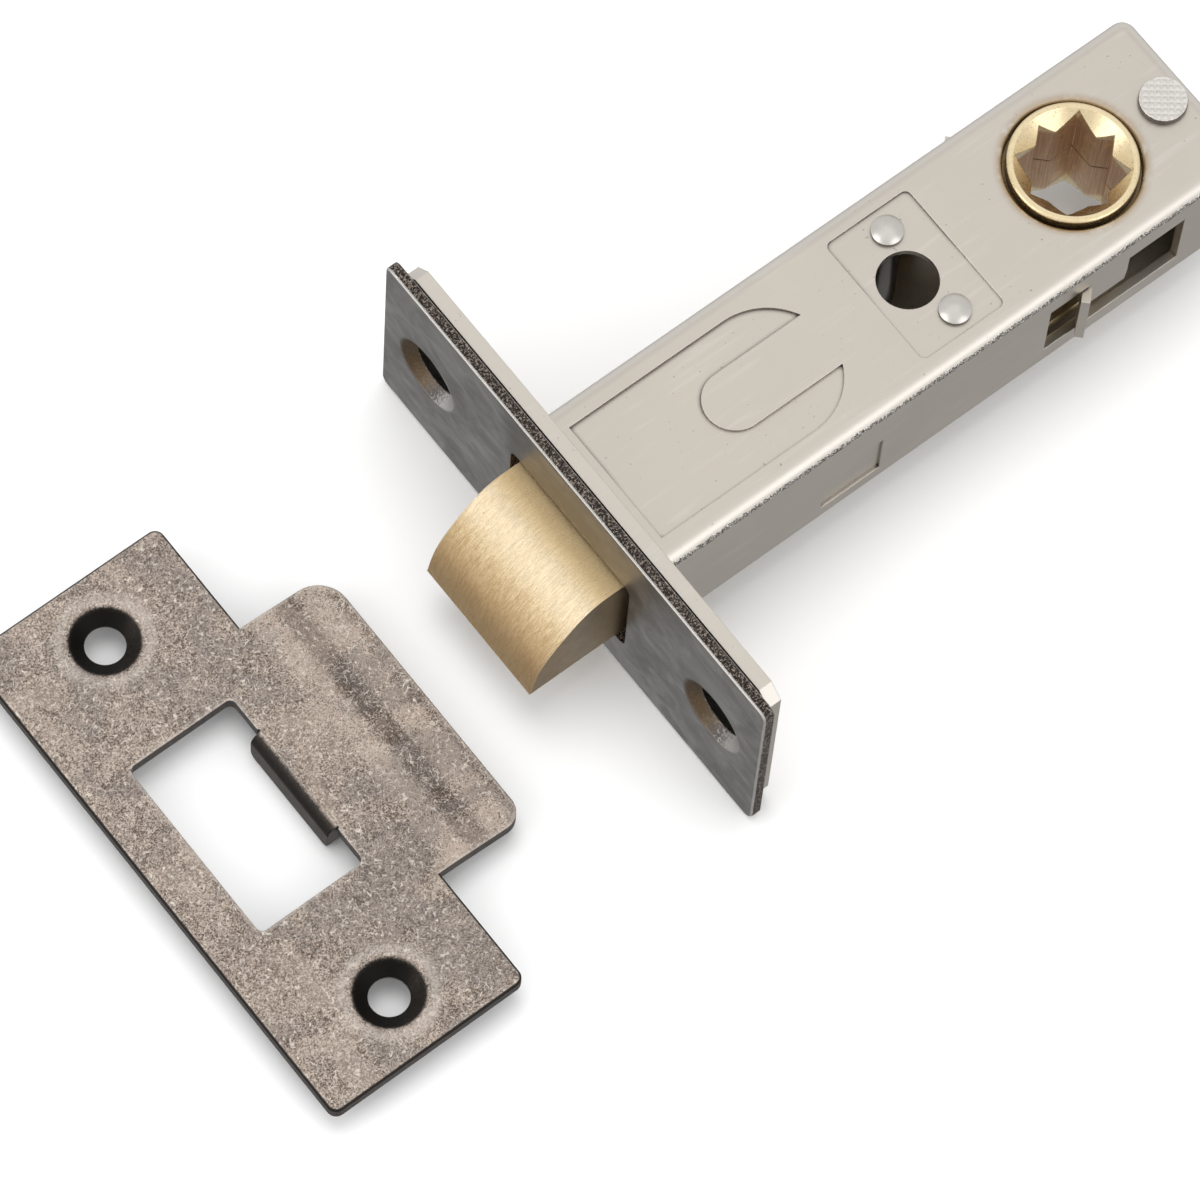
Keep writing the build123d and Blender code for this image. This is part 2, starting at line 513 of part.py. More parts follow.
with BuildPart() as strike_plate:
    with BuildSketch(strike_top):
        with Locations((body_mid, 0)):
            RectangleRounded(body_width, STRIKE_LENGTH, STRIKE_CORNER)
    extrude(amount=-STRIKE_THICK)
    fillet(strike_plate.faces().sort_by(Axis.Z)[-1].edges(), STRIKE_EDGE)

    # the lip, its section swept straight across
    with BuildSketch(strike_section(LIP_WIDTH / 2)):
        with BuildLine():
            lip_root = (STRIKE_BODY_X[1] - 2 * STRIKE_EDGE, 0)
            lip_tip = (STRIKE_BODY_X[1] + LIP_REACH, -LIP_DROP)
            under_root = (lip_root[0], -STRIKE_THICK)
            under_tip = (lip_tip[0], -LIP_DROP - STRIKE_THICK)
            Spline(lip_root, lip_tip, tangents=((1, 0), (1, 0)))
            Line(lip_tip, under_tip)
            Spline(under_tip, under_root, tangents=((-1, 0), (-1, 0)))
            Line(under_root, lip_root)
        make_face()
    extrude(amount=LIP_WIDTH)
    for end, radius in zip((0, -1), LIP_CORNERS):
        lip_corner = strike_plate.edges().filter_by(Axis.Z).group_by(Axis.X)[-1].sort_by(Axis.Y)[end]
        fillet(lip_corner, radius)

    # the bolt hole, with a relief notch at each side of the tongue
    with BuildSketch(strike_top):
        RectangleRounded(*STRIKE_HOLE, 0.7)
        notch_y = (TAB_WIDTH + TAB_RELIEF) / 2
        with Locations((hole_edge, notch_y), (hole_edge, -notch_y)):
            Circle(TAB_RELIEF)
    extrude(amount=-STRIKE_THICK, mode=Mode.SUBTRACT)

    # the tongue, folded down round a quarter circle
    with BuildSketch(strike_section(TAB_WIDTH / 2)):
        with BuildLine():
            tab_back = hole_edge + TAB_SET_BACK
            tab_face = tab_back - STRIKE_THICK
            tab_end = -STRIKE_THICK - TAB_DROP
            CenterArc((tab_back, -STRIKE_THICK), STRIKE_THICK, 90, 90)
            Polyline((tab_face, -STRIKE_THICK), (tab_face, tab_end), (tab_back, tab_end), (tab_back, 0))
        make_face()
    extrude(amount=TAB_WIDTH)
    tab_corners = strike_plate.edges().filter_by(Axis.X).group_by(Axis.Z)[0]
    fillet(tab_corners, 0.8)

    # a dimpled mouth runs into each countersink
    with BuildSketch(strike_section(0)):
        with BuildLine():
            Line((0, 0), (STRIKE_MOUTH_R, 0))
            sink_rim = (STRIKE_SINK_R, -STRIKE_MOUTH_DEPTH)
            Spline((STRIKE_MOUTH_R, 0), sink_rim, tangents=((-1, 0), (-1, -0.8)))
            Polyline(
                sink_rim, (STRIKE_SCREW_R, STRIKE_LAND - STRIKE_THICK),
                (STRIKE_SCREW_R, -STRIKE_THICK), (0, -STRIKE_THICK), (0, 0),
            )
        make_face()
    screw_hole = revolve(axis=Axis((STRIKE_X, STRIKE_Y, 0), (0, 0, 1)), mode=Mode.PRIVATE)
    for side in SIDES.values():
        offset_y = side * STRIKE_SCREW_SPACING / 2
        add(screw_hole.moved(Location((0, offset_y, 0))), mode=Mode.SUBTRACT)
finish(strike_plate.part, "strike_plate")
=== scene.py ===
"""A sprung tubular mortice latch and its strike plate, finished as the real ones are."""

import json
import math

import bpy
from mathutils import Matrix, Vector


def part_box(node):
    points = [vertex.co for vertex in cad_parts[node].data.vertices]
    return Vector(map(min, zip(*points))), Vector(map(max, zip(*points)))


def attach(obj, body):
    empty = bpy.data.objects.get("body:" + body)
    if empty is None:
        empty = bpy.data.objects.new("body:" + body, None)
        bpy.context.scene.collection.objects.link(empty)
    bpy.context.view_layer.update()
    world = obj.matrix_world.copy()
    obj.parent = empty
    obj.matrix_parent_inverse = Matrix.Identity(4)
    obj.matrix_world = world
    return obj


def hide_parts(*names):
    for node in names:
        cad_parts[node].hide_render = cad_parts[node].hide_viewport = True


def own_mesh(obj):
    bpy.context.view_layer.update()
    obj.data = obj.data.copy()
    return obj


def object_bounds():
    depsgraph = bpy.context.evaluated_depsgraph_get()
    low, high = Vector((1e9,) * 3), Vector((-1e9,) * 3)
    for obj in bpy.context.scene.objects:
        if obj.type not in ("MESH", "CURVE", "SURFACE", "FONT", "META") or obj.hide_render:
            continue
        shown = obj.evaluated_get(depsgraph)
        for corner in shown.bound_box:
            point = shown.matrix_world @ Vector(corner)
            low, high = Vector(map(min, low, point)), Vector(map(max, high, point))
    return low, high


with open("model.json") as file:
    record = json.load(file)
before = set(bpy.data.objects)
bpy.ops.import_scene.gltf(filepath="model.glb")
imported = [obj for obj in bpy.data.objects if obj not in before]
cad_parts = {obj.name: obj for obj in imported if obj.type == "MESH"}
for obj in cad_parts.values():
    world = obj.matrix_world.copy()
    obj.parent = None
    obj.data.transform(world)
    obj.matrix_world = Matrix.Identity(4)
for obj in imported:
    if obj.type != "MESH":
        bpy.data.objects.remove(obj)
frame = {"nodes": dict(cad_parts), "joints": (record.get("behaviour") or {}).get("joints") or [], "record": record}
cad_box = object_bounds()

# ------------------------------------------------------------------- studio
# The latch stands under a soft grey dome. Two round panels, off the bolt's nose
# and along the case, give the highlights, and a third lights the table.
stage = bpy.context.scene
stage.view_settings.view_transform = "Standard"

camera_data = bpy.data.cameras.new("camera")
camera_data.lens = 247.68
camera_data.clip_start, camera_data.clip_end = 0.05, 20.0
camera = bpy.data.objects.new("camera", camera_data)
stage.collection.objects.link(camera)
camera_right = Vector((0.7892, -0.6129, 0.0383))
camera_up = Vector((0.5520, 0.7354, 0.3930))
camera_back = camera_right.cross(camera_up)
camera_place = (-0.207756, -0.228258, 0.705728)
camera.matrix_world = Matrix.Translation(camera_place) @ Matrix(
    (camera_right, camera_up, camera_back)
).transposed().to_4x4()
stage.camera = camera


def panel_light(name, place, size, brightness, target=(0.01, 0.0, 0.0)):
    """A round soft light at place, turned towards target; returns its object."""
    light = bpy.data.lights.new(name, "AREA")
    light.shape, light.size = "DISK", size
    light.energy = brightness * math.pi**2 * size**2 / 4
    lamp = bpy.data.objects.new(name, light)
    stage.collection.objects.link(lamp)
    lamp.matrix_world = Matrix.Translation(place) @ (
        (Vector(target) - Vector(place)).to_track_quat("-Z", "Y").to_matrix().to_4x4()
    )
    return lamp


panel_size = 0.90
panel_light("nose_panel", (-0.90, 0.20, 0.55), panel_size, 1.30)
panel_light("side_panel", (0.20, -0.95, 0.55), panel_size, 1.00)
table_light = panel_light("table_panel", (0.10, 0.25, 1.40), panel_size, 3.6)
table_light.visible_glossy = False

dome = bpy.data.worlds.new("dome")
dome.use_nodes = True
stage.world = dome
dome_nodes, dome_links = dome.node_tree.nodes, dome.node_tree.links
dome_where = dome_nodes.new("ShaderNodeTexCoord")
dome_split = dome_nodes.new("ShaderNodeSeparateXYZ")
dome_height = dome_nodes.new("ShaderNodeMapRange")
dome_height.inputs["From Min"].default_value = -1.0
dome_tint = dome_nodes.new("ShaderNodeValToRGB")
dome_stops = (
    (0.0, 0.34), (0.06, 0.42), (0.24, 0.52), (0.36, 0.86), (0.55, 0.84), (0.86, 0.84), (0.97, 1.06),
)
while len(dome_tint.color_ramp.elements) < len(dome_stops):
    dome_tint.color_ramp.elements.new(0.5)
for stop, (height, grey) in zip(dome_tint.color_ramp.elements, dome_stops):
    stop.position, stop.color = height, (grey, grey, grey, 1.0)
dome_links.new(dome_where.outputs["Generated"], dome_split.inputs[0])
dome_links.new(dome_split.outputs["Z"], dome_height.inputs["Value"])
dome_links.new(dome_height.outputs[0], dome_tint.inputs[0])
dome_links.new(dome_tint.outputs["Color"], dome_nodes["Background"].inputs["Color"])


# ------------------------------------------------------------- case channel
# The case is a channel folded from sheet steel and plated in satin nickel. It
# is faintly rippled, and gritty along the folded edge that the press held.
class Wire:
    """A socket's value, which adds Math nodes when it is used in an expression."""

    def __init__(self, paint, socket):
        self.paint, self.socket = paint, socket

    def maths(self, operation, first, second):
        return self.paint.node("ShaderNodeMath", {"operation": operation}, {0: first, 1: second})

    def __add__(self, other):
        return self.maths("ADD", self, other)

    def __sub__(self, other):
        return self.maths("SUBTRACT", self, other)

    def __rsub__(self, other):
        return self.maths("SUBTRACT", other, self)

    def __mul__(self, other):
        return self.maths("MULTIPLY", self, other)

    def __pow__(self, other):
        return self.maths("POWER", self, other)

    def __rpow__(self, other):
        return self.maths("POWER", other, self)

    __radd__ = __add__
    __rmul__ = __mul__


class Paint:
    """One finish, drawn on the piece in millimetres of its own coordinates."""

    def __init__(self, name):
        self.material = bpy.data.materials.new(name)
        self.material.use_nodes = True
        self.tree = self.material.node_tree
        self.shader = self.tree.nodes["Principled BSDF"]
        place = self.node("ShaderNodeTexCoord", out="Object")
        self.mm = self.node("ShaderNodeVectorMath", {"operation": "SCALE"}, {0: place, "Scale": 1000.0})

    def fill(self, socket, value):
        """Links a wire to the socket, or sets a plain number or colour on it."""
        if isinstance(value, Wire):
            self.tree.links.new(value.socket, socket)
        elif socket.type == "RGBA":
            socket.default_value = (*value, 1.0)
        else:
            socket.default_value = value

    def node(self, kind, settings=None, inputs=None, out=0):
        """Adds a node: its settings first, then its sockets' values or links."""
        made = self.tree.nodes.new(kind)
        for name, value in (settings or {}).items():
            setattr(made, name, value)
        for key, value in (inputs or {}).items():
            self.fill(made.inputs[key], value)
        return Wire(self, made.outputs[out])

    def noise(self, where, size, detail=2.0, distortion=0.0, roughness=0.5):
        """Soft noise with patches about size millimetres across."""
        return self.node("ShaderNodeTexNoise", {}, {
            "Vector": where, "Scale": 1.0 / size, "Detail": detail,
            "Roughness": roughness, "Distortion": distortion,
        }, "Fac")

    def between(self, value, low, high):
        """0 below low, 1 above high, smooth between them."""
        return self.node("ShaderNodeMapRange", {"interpolation_type": "SMOOTHSTEP"}, {
            "Value": value, "From Min": low, "From Max": high,
        })

    def stretched(self, where, x, y, z, turn=(0.0, 0.0, 0.0)):
        """The same place with each axis divided, so that noise runs out along it."""
        return self.node("ShaderNodeMapping", {}, {
            "Vector": where, "Rotation": turn, "Scale": (1.0 / x, 1.0 / y, 1.0 / z),
        })

    def axes(self, vector):
        """A vector's three numbers."""
        return [self.node("ShaderNodeSeparateXYZ", {}, {0: vector}, out) for out in "XYZ"]

    def facing(self):
        """Which way the surface faces: one number each for X, Y and Z."""
        return self.axes(self.node("ShaderNodeTexCoord", out="Normal"))

    def mix(self, amount, first, second):
        """First colour where amount is 0, second where it is 1."""
        colour_a, colour_b, colour_out = 6, 7, 2
        return self.node("ShaderNodeMix", {"data_type": "RGBA"},
                         {0: amount, colour_a: first, colour_b: second}, colour_out)

    def edge(self, radius):
        """0 on a flat, rising towards 1 within radius millimetres of a sharp edge."""
        rounded = self.node("ShaderNodeBevel", {"samples": 6}, {"Radius": radius / 1000}, "Normal")
        plain = self.node("ShaderNodeNewGeometry", out="Normal")
        match = self.node("ShaderNodeVectorMath", {"operation": "DOT_PRODUCT"},
                          {0: rounded, 1: plain}, "Value")
        return self.between(match, 1.0, 0.75)

    def crevice(self, distance):
        """1 in the open, falling to 0 in a corner that is distance millimetres deep."""
        return self.node("ShaderNodeAmbientOcclusion", {"samples": 6, "only_local": True},
                         {"Distance": distance / 1000}, "AO")

    def finish(self, colour, roughness, height=None, depth=0.01, round_by=0.1, **constants):
        """Joins the finish to the shader: depth is the relief's height in millimetres."""
        rounded = self.node("ShaderNodeBevel", {"samples": 4}, {"Radius": round_by / 1000}, "Normal")
        if height is not None:
            rounded = self.node("ShaderNodeBump", {}, {
                "Strength": 1.0, "Distance": depth / 1000, "Height": height, "Normal": rounded,
            })
        links = {"Base Color": colour, "Roughness": roughness, "Normal": rounded}
        for name, value in {**links, **constants}.items():
            self.fill(self.shader.inputs[name], value)
        return self.material


def dress(material, *nodes):
    """Gives these CAD pieces their finish."""
    for node in nodes:
        piece = frame["nodes"][node].data
        piece.materials.clear()
        piece.materials.append(material)


def nickel_sheet(name, tint):
    """Satin nickel plate on pressed sheet, tarnished round the follower's hole."""
    scratch, bare = (0.78, 0.75, 0.70), (0.95, 0.93, 0.90)
    dirt, brown = (0.20, 0.18, 0.16), (0.42, 0.30, 0.17)
    near_black, black = (0.070, 0.062, 0.055), (0.035, 0.030, 0.027)
    paint = Paint(name)
    x, y, _ = paint.axes(paint.mm)
    hub_lo, hub_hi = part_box("follower_upper")
    hub_x = 1000 * (hub_lo.x + hub_hi.x) / 2
    from_hub = ((x - hub_x) * (x - hub_x) + y * y) ** 0.5
    ripple = paint.noise(paint.mm, 2.4, 3)
    grain = paint.noise(paint.mm, 0.16, 2)
    cloud = paint.noise(paint.mm, 9.0, 4, 0.6)
    smear = paint.noise(paint.stretched(paint.mm, 9.0, 0.8, 1.6), 1.0, 3, 0.5)
    pits = paint.between(paint.noise(paint.mm, 0.42, 1), 0.74, 0.80)
    _, _, up = paint.facing()
    grit = paint.noise(paint.mm, 0.17, 3, 0.8, 0.7)
    wander = paint.noise(paint.mm, 1.3, 3)
    fold = up + 0.3 * wander
    band = paint.between(fold, 0.24, 0.34) * paint.between(fold, 0.74, 0.58)
    # Painted highlight: a pale sheen on the rounded fold, where the sheet turns from the top to the side.
    fold_highlight = paint.between(up, 0.30, 0.62) * paint.between(up, 0.995, 0.90)
    tarnish = paint.between(from_hub + 0.5 * wander, 8.1, 7.0) * paint.between(from_hub, 6.2, 6.6)
    far_side = paint.between(y, -2.0, 2.0)
    band = band * (1 - far_side)
    far_top = far_side * paint.between(up, 0.90, 0.97)
    # Painted shade: the plate goes near black in crevices and corners found by ambient occlusion, less readily on
    # the top of the far side.
    crevice_shade = 1.0 - paint.between(paint.crevice(0.5), 0.30 + 0.18 * far_top, 0.84 + 0.12 * far_top)
    worn = paint.edge(0.16)
    plate = paint.mix(cloud, tuple(0.92 * c for c in tint), tint)
    plate = paint.mix(paint.between(smear, 0.55, 0.75) * 0.25, plate, scratch)
    plate = paint.mix(pits * 0.5, plate, dirt)
    plate = paint.mix(fold_highlight * 0.30, plate, (0.86, 0.84, 0.81))
    plate = paint.mix(band * paint.between(grit, 0.54, 0.48) * 0.92, plate, near_black)
    plate = paint.mix(band * paint.between(grit, 0.55, 0.59), plate, bare)
    plate = paint.mix(tarnish * paint.between(wander, 0.25, 0.55) * 0.75, plate, brown)
    plate = paint.mix(crevice_shade * 0.92, plate, black)
    plate = paint.mix(worn * (1 - crevice_shade) * 0.45, plate, (0.86, 0.84, 0.80))
    rough = 0.30 + 0.10 * cloud + 0.08 * grain
    height = 0.35 * ripple + 0.14 * grain - 0.4 * pits + 2.0 * (band * grit)
    return paint.finish(plate, rough, height, depth=0.022, round_by=0.14, Metallic=1.0)


nickel = nickel_sheet("satin_nickel", (0.665, 0.615, 0.545))
dress(nickel, "case_channel")


# ------------------------------------------------------------- inner forend
# The inner forend is a shallow tray pressed from sheet steel, in a slightly
# yellower nickel. It backs the faceplate, with its rim turned forward.
forend_nickel = nickel_sheet("forend_nickel", (0.685, 0.640, 0.570))
dress(forend_nickel, "inner_forend")


# --------------------------------------------------------------- latch bolt
# The bolt is a block of bare brass, with a curved bevel cut on its nose. It is
# brushed along its travel, and bored from behind for the spring.
def brushed_brass():
    """Brushed brass: painted shade darkens the nose to brown, a painted highlight band lies behind it, and a
    painted reflection makes it yellow by the faceplate.
    """
    paint = Paint("brushed_brass")
    bolt_lo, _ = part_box("latch_bolt")
    x, _, _ = paint.axes(paint.mm)
    _, sideways, _ = paint.facing()
    side_shade = paint.between(sideways, -0.70, -0.98)
    streak = paint.noise(paint.stretched(paint.mm, 2.2, 0.16, 2.2), 1.0, 5, 0.2, 0.7)
    fine = paint.noise(paint.stretched(paint.mm, 0.7, 0.07, 0.7), 1.0, 3, 0.2, 0.6)
    cloud = paint.noise(paint.mm, 2.6, 4, 0.6)
    grain = paint.noise(paint.mm, 0.11, 2)
    speck = paint.between(paint.noise(paint.mm, 0.22, 2), 0.71, 0.78)
    worn = paint.edge(0.16)
    from_tip = x - bolt_lo.x * 1000 + 1.2 * cloud
    nose = paint.between(from_tip, 5.8, 1.0)
    rubbing_and_highlight = paint.between(from_tip, 3.6, 5.6) * paint.between(from_tip, 9.4, 7.2)
    faceplate_reflection = paint.between(from_tip, 7.0, 10.0)
    tone = 0.35 * streak + 0.40 * fine + 0.25 * grain
    dark_brass, light_brass = (0.520, 0.375, 0.195), (0.920, 0.755, 0.490)
    brass = paint.mix(paint.between(tone, 0.41, 0.59), dark_brass, light_brass)
    brass = paint.mix(cloud * 0.30, brass, (0.60, 0.455, 0.270))
    # Painted light along the bevel: shade darkens the nose, a pale highlight band lies behind it, and a warm
    # yellow reflection lies by the faceplate.
    brass = paint.mix(nose * 0.62, brass, (0.46, 0.300, 0.140))
    brass = paint.mix(rubbing_and_highlight * 0.40, brass, (0.80, 0.71, 0.56))
    brass = paint.mix(faceplate_reflection * 0.75, brass, (1.00, 0.76, 0.43))
    # Painted shade: the side that faces -Y is darkened.
    brass = paint.mix(side_shade * 0.75, brass, (0.28, 0.215, 0.150))
    brass = paint.mix(speck * 0.5, brass, (0.30, 0.19, 0.08))
    brass = paint.mix(worn * 0.5, brass, (0.88, 0.74, 0.50))
    rough = 0.33 + 0.12 * fine + 0.12 * cloud
    height = 0.4 * streak + 0.6 * fine + 0.45 * grain - 0.8 * speck
    return paint.finish(brass, rough, height, depth=0.045, round_by=0.12, Metallic=1.0)


dress(brushed_brass(), "latch_bolt")


# ---------------------------------------------------------- drawbar, rivets
# The drawbar is a U pressed from sheet steel, zinc plated and passivated
# yellow. Two rivets of the same finish fix its web to the back of the bolt.
def yellow_passivate():
    """Zinc with a yellow passivate that drifts to green and to pink."""
    paint = Paint("yellow_passivate")
    cloud = paint.noise(paint.mm, 1.8, 4, 0.8)
    patch = paint.noise(paint.mm, 4.5, 3, 1.5)
    grain = paint.noise(paint.mm, 0.14, 2)
    worn = paint.edge(0.15)
    zinc = paint.mix(cloud, (0.46, 0.35, 0.16), (0.66, 0.56, 0.34))
    zinc = paint.mix(paint.between(patch, 0.50, 0.66) * 0.5, zinc, (0.44, 0.46, 0.30))
    zinc = paint.mix(paint.between(patch, 0.46, 0.34) * 0.4, zinc, (0.55, 0.33, 0.20))
    zinc = paint.mix(worn * 0.6, zinc, (0.78, 0.72, 0.58))
    return paint.finish(zinc, 0.34 + 0.14 * grain, 0.3 * cloud + 0.25 * grain,
                        depth=0.02, round_by=0.10, Metallic=1.0)


passivate = yellow_passivate()
dress(passivate, "drawbar", "drawbar_rivets")


# --------------------------------------------------- spring bracket, pilot
# The spring pushes against an upright steel plate across the case. A turned
# pilot riveted to it centres the coil. Both are passivated like the drawbar.
dress(passivate, "spring_bracket", "spring_pilot")


# -------------------------------------------------------------- bolt spring
# The bolt spring is coiled from drawn steel wire, oiled and left bare. It
# stands on the bracket.
def spring_steel():
    """Bright drawn wire with a little dark oil on it."""
    paint = Paint("spring_steel")
    drawn = paint.noise(paint.mm, 0.25, 4, 0.5)
    oil = paint.noise(paint.mm, 1.6, 3)
    wire = paint.mix(drawn, (0.30, 0.30, 0.31), (0.56, 0.56, 0.57))
    wire = paint.mix(paint.between(oil, 0.5, 0.7) * 0.4, wire, (0.20, 0.17, 0.13))
    return paint.finish(wire, 0.24 + 0.16 * drawn, drawn, depth=0.008, Metallic=1.0)


def coil_tree(material):
    """Geometry nodes for a compression spring along +X from the origin."""
    wire_steps, section_steps = 32, 12
    tree = bpy.data.node_groups.new("coil", "GeometryNodeTree")
    for name in ("Turns", "Length", "Radius", "Wire Radius"):
        tree.interface.new_socket(name, in_out="INPUT", socket_type="NodeSocketFloat")
    tree.interface.new_socket("Geometry", in_out="OUTPUT", socket_type="NodeSocketGeometry")

    def node(kind, **inputs):
        made = tree.nodes.new(kind)
        for name, value in inputs.items():
            socket = made.inputs[name.replace("_", " ")]
            if isinstance(value, bpy.types.NodeSocket):
                tree.links.new(value, socket)
            else:
                socket.default_value = value
        return made

    sizes = node("NodeGroupInput").outputs
    spiral = node("GeometryNodeCurveSpiral", Resolution=wire_steps, Rotations=sizes["Turns"],
                  Start_Radius=sizes["Radius"], End_Radius=sizes["Radius"], Height=sizes["Length"])
    section = node("GeometryNodeCurvePrimitiveCircle", Resolution=section_steps,
                   Radius=sizes["Wire Radius"])
    wire = node("GeometryNodeCurveToMesh", Curve=spiral.outputs["Curve"],
                Profile_Curve=section.outputs["Curve"], Fill_Caps=True)
    laid = node("GeometryNodeTransform", Geometry=wire.outputs["Mesh"],
                Rotation=(0.0, math.pi / 2, 0.0))
    smooth = node("GeometryNodeSetShadeSmooth", Geometry=laid.outputs["Geometry"])
    real = node("GeometryNodeRealizeInstances", Geometry=smooth.outputs[0])
    dressed = node("GeometryNodeSetMaterial", Geometry=real.outputs[0], Material=material)
    tree.links.new(dressed.outputs[0], node("NodeGroupOutput").inputs[0])
    return tree


def grown(name, tree, place, **sizes):
    """Runs a geometry tree once and keeps its result as a plain mesh at place."""
    seed = bpy.data.objects.new(name + "_seed", bpy.data.meshes.new(name + "_seed"))
    stage.collection.objects.link(seed)
    modifier = seed.modifiers.new("grow", "NODES")
    modifier.node_group = tree
    for item in tree.interface.items_tree:
        if item.in_out == "INPUT" and item.name in sizes:
            modifier[item.identifier] = sizes[item.name]
    bpy.context.view_layer.update()
    scene_now = bpy.context.evaluated_depsgraph_get()
    result = bpy.data.meshes.new_from_object(seed.evaluated_get(scene_now))
    bpy.data.objects.remove(seed)
    result.transform(Matrix.Translation(place))
    result.name = name
    piece = bpy.data.objects.new(name, result)
    stage.collection.objects.link(piece)
    return piece


spring_lo, spring_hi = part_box("bolt_spring")
spring_turns, wire_radius = 9.0, 0.0004
spring_radius = (spring_hi.z - spring_lo.z) / 2 - wire_radius
spring_axis_z = (spring_hi.z + spring_lo.z) / 2
spring_start, spring_end = spring_lo.x + wire_radius, spring_hi.x - wire_radius
coil = grown("bolt_spring_coil", coil_tree(spring_steel()), (spring_start, 0, spring_axis_z), **{
    "Turns": spring_turns, "Length": spring_end - spring_start,
    "Radius": spring_radius, "Wire Radius": wire_radius,
})
travel = next(j for j in frame["joints"] if j["name"] == "bolt_slide")["range_m"][1]
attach(coil, "latch_case")
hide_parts("bolt_spring")
1 - travel / (spring_hi.x - spring_lo.x)
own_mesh(coil)


# ----------------------------------------------------------- follower halves
# The follower's two halves are cast brass, turned on the hub. The annulus is
# pitted and bright, the star broached and tarnished to a copper brown.
def follower_brass():
    """Turned brass with a pitted face, and copper brown down in the star."""
    paint = Paint("follower_brass")
    follower_lo, follower_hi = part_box("follower_upper")
    middle = (follower_lo + follower_hi) / 2
    from_axis = paint.node("ShaderNodeVectorMath", {"operation": "SUBTRACT"},
                           {0: paint.mm, 1: (middle.x * 1000, middle.y * 1000, 0.0)})
    x, y, z = paint.axes(from_axis)
    radius = (x * x + y * y) ** 0.5
    high = (z * z) ** 0.5
    turning = paint.noise(paint.mm, 0.5, 3)
    rings = paint.node("ShaderNodeTexWave", {"wave_type": "RINGS", "rings_direction": "Z"},
                       {"Vector": from_axis, "Scale": 2.2, "Distortion": 1.2, "Detail": 2.0}, "Fac")
    broach = paint.noise(paint.stretched(from_axis, 0.12, 0.12, 6.0), 1.0, 3, 0.4)
    cloud = paint.noise(paint.mm, 1.4, 4, 0.8)
    pits = paint.between(paint.noise(paint.mm, 0.26, 2), 0.60, 0.72)
    worn = paint.edge(0.18)
    deep = paint.between(high, 6.4, 5.6) * paint.between(radius, 6.0, 5.7)
    gap_shade = paint.between(high, 6.9, 6.5) * paint.between(radius, 6.15, 6.3)
    gold = paint.mix(turning, (0.78, 0.63, 0.38), (0.93, 0.79, 0.53))
    gold = paint.mix(pits * 0.45, gold, (0.42, 0.29, 0.14))
    copper = paint.mix(paint.between(broach, 0.15, 0.85), (0.46, 0.300, 0.185), (0.80, 0.590, 0.410))
    copper = paint.mix(paint.between(cloud, 0.52, 0.68) * 0.6, copper, (0.80, 0.58, 0.32))
    metal = paint.mix(deep, gold, copper)
    metal = paint.mix(worn * (1 - 0.6 * deep), metal, (0.97, 0.86, 0.62))
    # Painted shade: the hub's side, down in the gap of the case's hole, is near black.
    metal = paint.mix(gap_shade * 0.9, metal, (0.10, 0.065, 0.035))
    rough = 0.22 + 0.12 * turning + 0.22 * deep
    turned_face = 0.25 * (rings * (1 - deep)) + 0.3 * turning - 0.6 * (pits * (1 - deep))
    height = turned_face + 0.8 * (broach * deep)
    return paint.finish(metal, rough, height, depth=0.016, round_by=0.12, Metallic=1.0)


dress(follower_brass(), "follower_upper", "follower_lower")


# --------------------------------------------------------------- case cover
# A flat plate of the same nickel-plated sheet closes the underside. It is laid
# on last, over the parts inside, and the pillars and the post hold it.
dress(nickel, "case_cover")


# ------------------------------------------------------------ pillar rivets
# The two pillars beside the fixing hole are turned steel in bright nickel.
# Their ends are headed over, which holds the case and its cover together.
def bright_nickel(name, scuffs):
    """Bright nickel on a struck head: scuffs, from 0 to 1, is how hard it was hit."""
    paint = Paint(name)
    soft = paint.noise(paint.mm, 0.9, 3)
    dents = paint.between(paint.noise(paint.mm, 0.30, 2), 0.66, 0.74)
    # Painted shade: near black in the crevices round the head, found by ambient occlusion.
    crevice_shade = 1.0 - paint.between(paint.crevice(0.4), 0.20, 0.70)
    _, _, up = paint.facing()
    steep_side_shade = paint.between(up + 0.2 * soft, 0.72, 0.42)
    shade = 0.9 + 0.4 * scuffs
    dull, clean = ((grey * shade, 0.96 * grey * shade, 0.90 * grey * shade) for grey in (0.58, 0.70))
    metal = paint.mix(soft, dull, clean)
    metal = paint.mix(dents * scuffs, metal, (0.30, 0.27, 0.24))
    # Painted shade: the steep sides of the domed head are near black, a dark crescent round it.
    metal = paint.mix(steep_side_shade * 0.9, metal, (0.10, 0.09, 0.08))
    metal = paint.mix(crevice_shade * 0.8, metal, (0.06, 0.05, 0.045))
    height = 0.5 * soft - scuffs * dents
    return paint.finish(metal, 0.26 + 0.10 * soft, height, depth=0.012, round_by=0.08, Metallic=1.0)


dress(bright_nickel("bright_nickel", 0.25), "pillar_rivet_left", "pillar_rivet_right")


# ---------------------------------------------------------------- rear post
# The rear post ties the case behind the follower. Its flat head was struck by
# a knurled punch, which left crossed ridges and a burred rim.
post_lo, post_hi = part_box("rear_post")
post_x, post_head_r = (post_lo.x + post_hi.x) / 2, (post_hi.x - post_lo.x) / 2
post_shank_r, post_neck_r = post_head_r - 0.0003, 0.0015
case_lo, case_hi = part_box("case_channel")
top_sheet, cover_sheet = 0.0009, 0.00075
head_wall, rim_inset, rim_drop = 0.00035, 0.00005, 0.00012
struck_depth, post_segments = 0.0002, 144
knurl_pitch, knurl_depth = 0.00062, 0.00018
knurl_ways = ((0.788, -0.616), (0.616, 0.788))
burr_width, burr_depth = 0.0003, 0.00012


